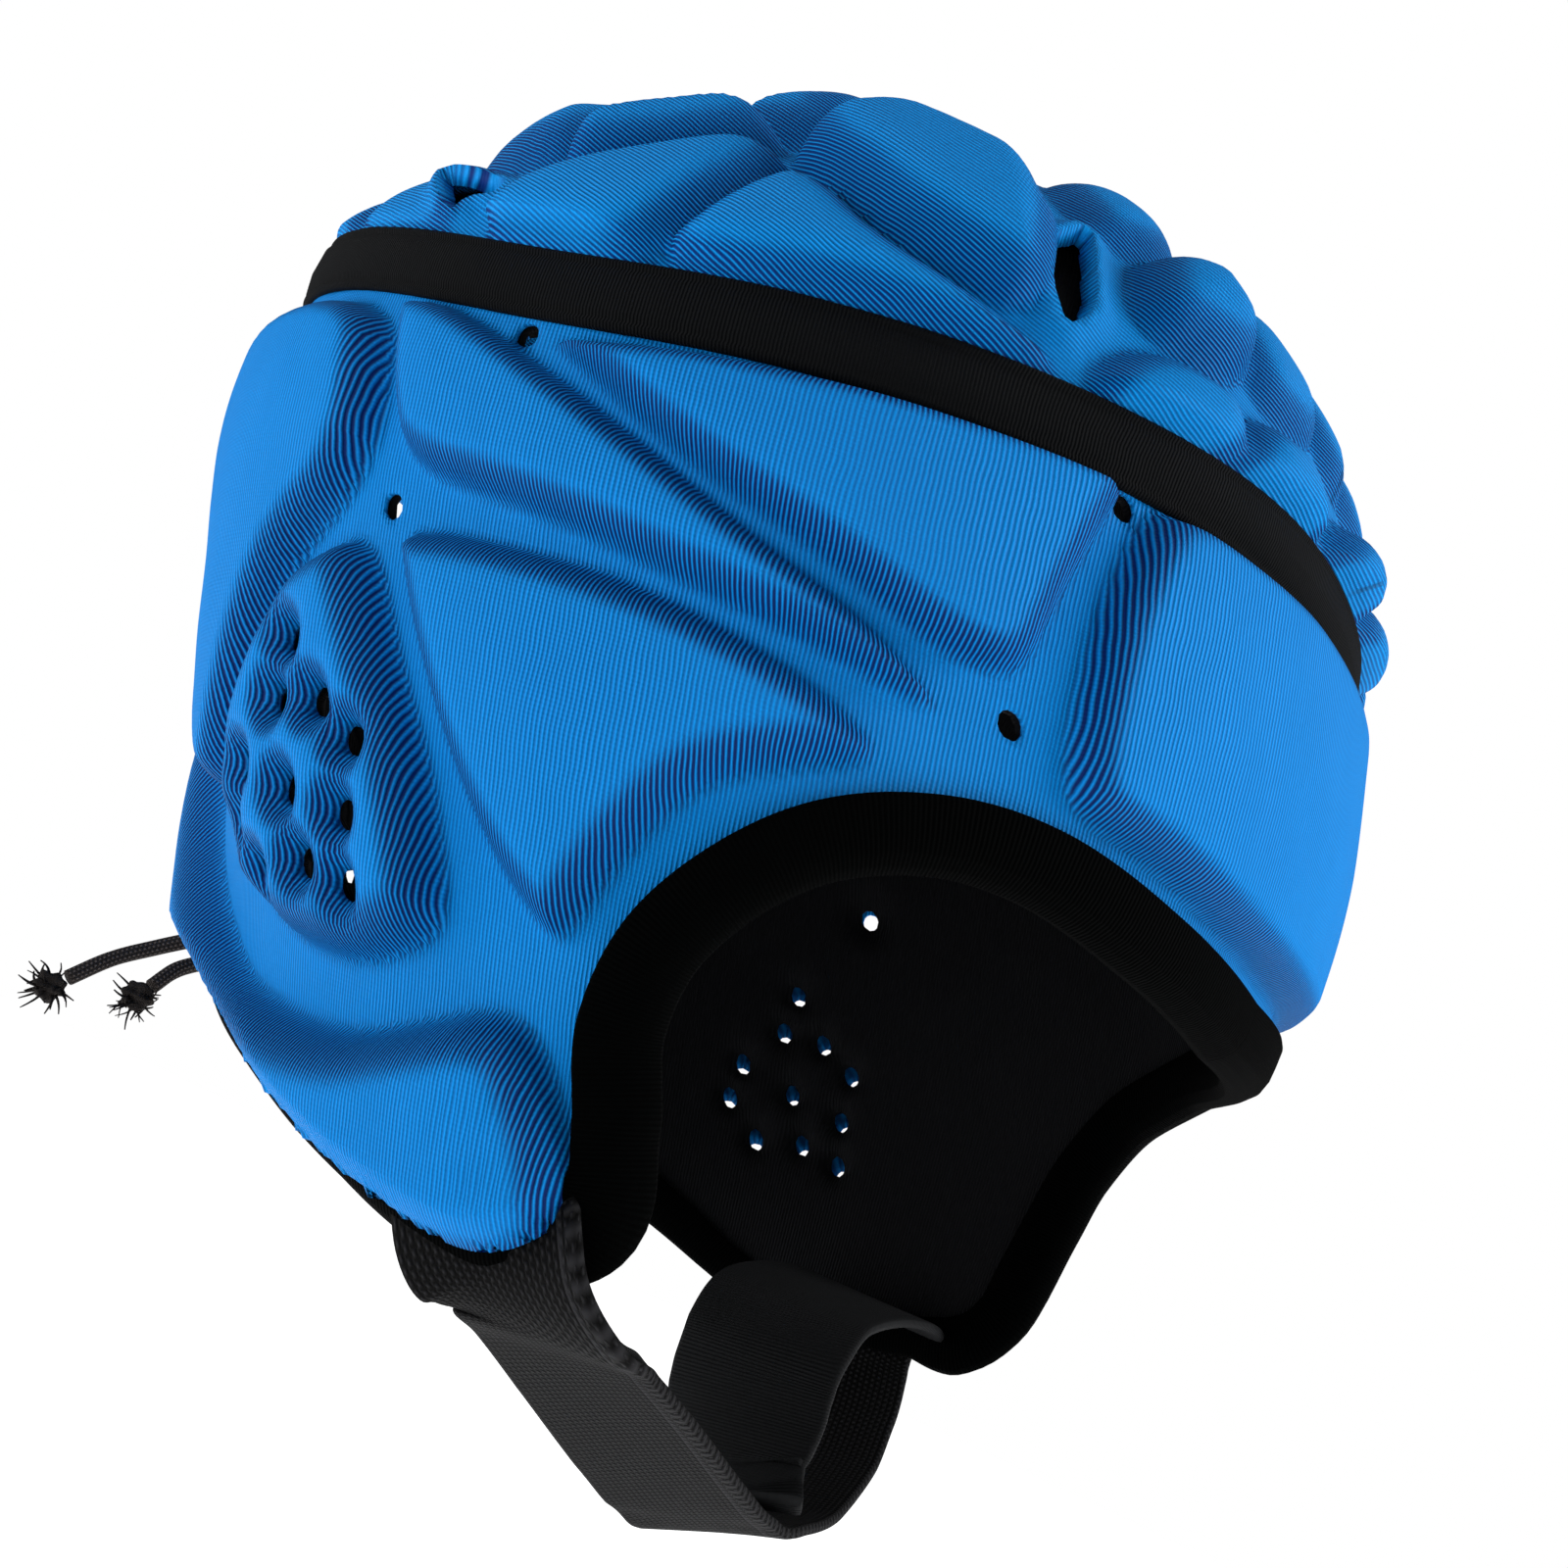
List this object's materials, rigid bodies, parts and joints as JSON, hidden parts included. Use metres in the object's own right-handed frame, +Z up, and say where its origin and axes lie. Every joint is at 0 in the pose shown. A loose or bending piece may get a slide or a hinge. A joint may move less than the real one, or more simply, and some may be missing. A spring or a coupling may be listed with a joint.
{
  "type": "rugby scrum cap",
  "caption": "Soft padded rugby headguard with a lobed crown, ear holes, bound edges, rear lacing and a chin strap that closes under the jaw",
  "frame": {"origin": "inside the crown at the top of the head hollow, on the lining, where the top of a head carries the worn cap", "axes": "+Z is up, -Y is the front of the cap, -X is the wearer's right and +X the wearer's left"},
  "size_m": [0.2064, 0.2203, 0.2399],
  "materials": {
    "blue_padded_knit": "ribbed polyester knit over moulded foam",
    "black_tape": "matt woven tape",
    "black_binding": "matt stretch knit binding",
    "black_lining": "matt knit lining",
    "black_webbing": "coarse woven elastic webbing",
    "black_loop_strap": "matt loop-faced strap",
    "charcoal_cord": "braided cord"
  },
  "bodies": {
    "root": {"side_band": "blue_padded_knit", "crown_dome": "blue_padded_knit", "top_tape": "black_tape", "edge_binding": "black_binding", "lining": "black_lining", "chin_strap_webbing": "black_webbing", "chin_strap_soft": "black_loop_strap", "strap_patch": "black_loop_strap", "back_lace": "charcoal_cord", "lace_end_upper": "charcoal_cord", "lace_end_lower": "charcoal_cord", "lace_knot_upper": "charcoal_cord", "lace_knot_lower": "charcoal_cord"}
  },
  "joints": []
}
